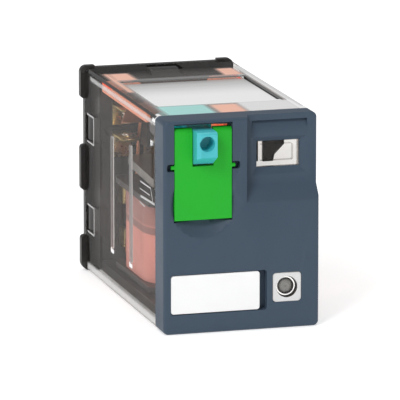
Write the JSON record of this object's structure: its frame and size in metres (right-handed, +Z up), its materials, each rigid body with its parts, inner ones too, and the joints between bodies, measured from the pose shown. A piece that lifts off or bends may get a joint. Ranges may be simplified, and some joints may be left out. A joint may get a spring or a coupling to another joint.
{
  "type": "industrial control relay",
  "caption": "Plug-in control relay: smoky clear cover, slate bezel with lock door and test button, flag and lamp windows, flat socket blades, coil and changeover contacts inside.",
  "frame": {"origin": "middle of the blade grid on the socket face, the rear of the base that meets a relay socket", "axes": "+Y along the blades into the socket, +Z up, +X to the right seen from the front"},
  "size_m": [0.0222, 0.0481, 0.0284],
  "materials": {
    "base_plastic": "fine matt",
    "clear_plastic": "polished, lightly smoked, clear",
    "bezel_plastic": "fine matt",
    "label_plastic": "smooth",
    "door_plastic": "satin",
    "button_plastic": "satin",
    "contact_alloy": "polished silver alloy",
    "magnet_steel": "plated, satin",
    "bobbin_plastic": "matt",
    "copper_wire": "enamelled",
    "coil_tape": "satin tape",
    "spring_steel": "bright",
    "wire_sleeve": "satin",
    "led_lens": "tinted dome",
    "board_laminate": "laminate",
    "component_body": "lacquered",
    "brass": "tinned brass, satin",
    "card_plastic": "matt",
    "flag_orange": "satin",
    "flag_dark": "satin",
    "spring_copper": "bright copper alloy",
    "braid_copper": "braided copper"
  },
  "bodies": {
    "housing": {"base": "base_plastic", "clear_cover": "clear_plastic", "front_bezel": "bezel_plastic", "legend_label": "label_plastic", "nc_terminal_1": "brass", "nc_terminal_2": "brass", "nc_terminal_3": "brass", "nc_terminal_4": "brass", "no_terminal_1": "brass", "no_terminal_2": "brass", "no_terminal_3": "brass", "no_terminal_4": "brass", "com_terminal_1": "brass", "com_terminal_2": "brass", "com_terminal_3": "brass", "com_terminal_4": "brass", "coil_terminal_1": "brass", "coil_terminal_2": "brass", "nc_contacts": "contact_alloy", "no_contacts": "contact_alloy", "core": "magnet_steel", "yoke": "magnet_steel", "bobbin": "bobbin_plastic", "coil_winding": "copper_wire", "coil_tape": "coil_tape", "return_spring": "spring_steel", "pigtail_1": "braid_copper", "pigtail_2": "braid_copper", "pigtail_3": "braid_copper", "pigtail_4": "braid_copper", "coil_leads": "copper_wire", "led_leads": "wire_sleeve", "led": "led_lens", "led_board": "board_laminate", "resistor": "component_body", "diode": "component_body"},
    "lock_door": {"lock_door": "door_plastic"},
    "test_button": {"test_button": "button_plastic"},
    "armature": {"armature": "magnet_steel", "card_rivets": "brass", "contact_card": "card_plastic", "flag_arm": "flag_orange", "indicator_flag": "flag_dark", "moving_contacts": "contact_alloy", "moving_spring_1": "spring_copper", "moving_spring_2": "spring_copper", "moving_spring_3": "spring_copper", "moving_spring_4": "spring_copper"}
  },
  "joints": [
    {"name": "test_button_slide", "type": "slide", "parent": "housing", "child": "test_button", "axis": [0, 1, 0], "range_m": [0, 0.0015], "stiffness_N_per_m": 800},
    {"name": "armature_hinge", "type": "hinge", "parent": "housing", "child": "armature", "pos_m": [0, -0.0312, 0.0013], "axis": [-1, 0, 0], "range_deg": [0, 3], "deforming": ["pigtail_1", "pigtail_2", "pigtail_3", "pigtail_4", "return_spring"]},
    {"name": "lock_door_hinge", "type": "hinge", "parent": "housing", "child": "lock_door", "pos_m": [-0.00517, -0.04025, 0.00805], "axis": [-1, 0, 0], "range_deg": [0, 60]}
  ],
  "couplings": [
    {"joint": "armature_hinge", "follows": "test_button_slide", "rad_per_m": 34.9}
  ]
}
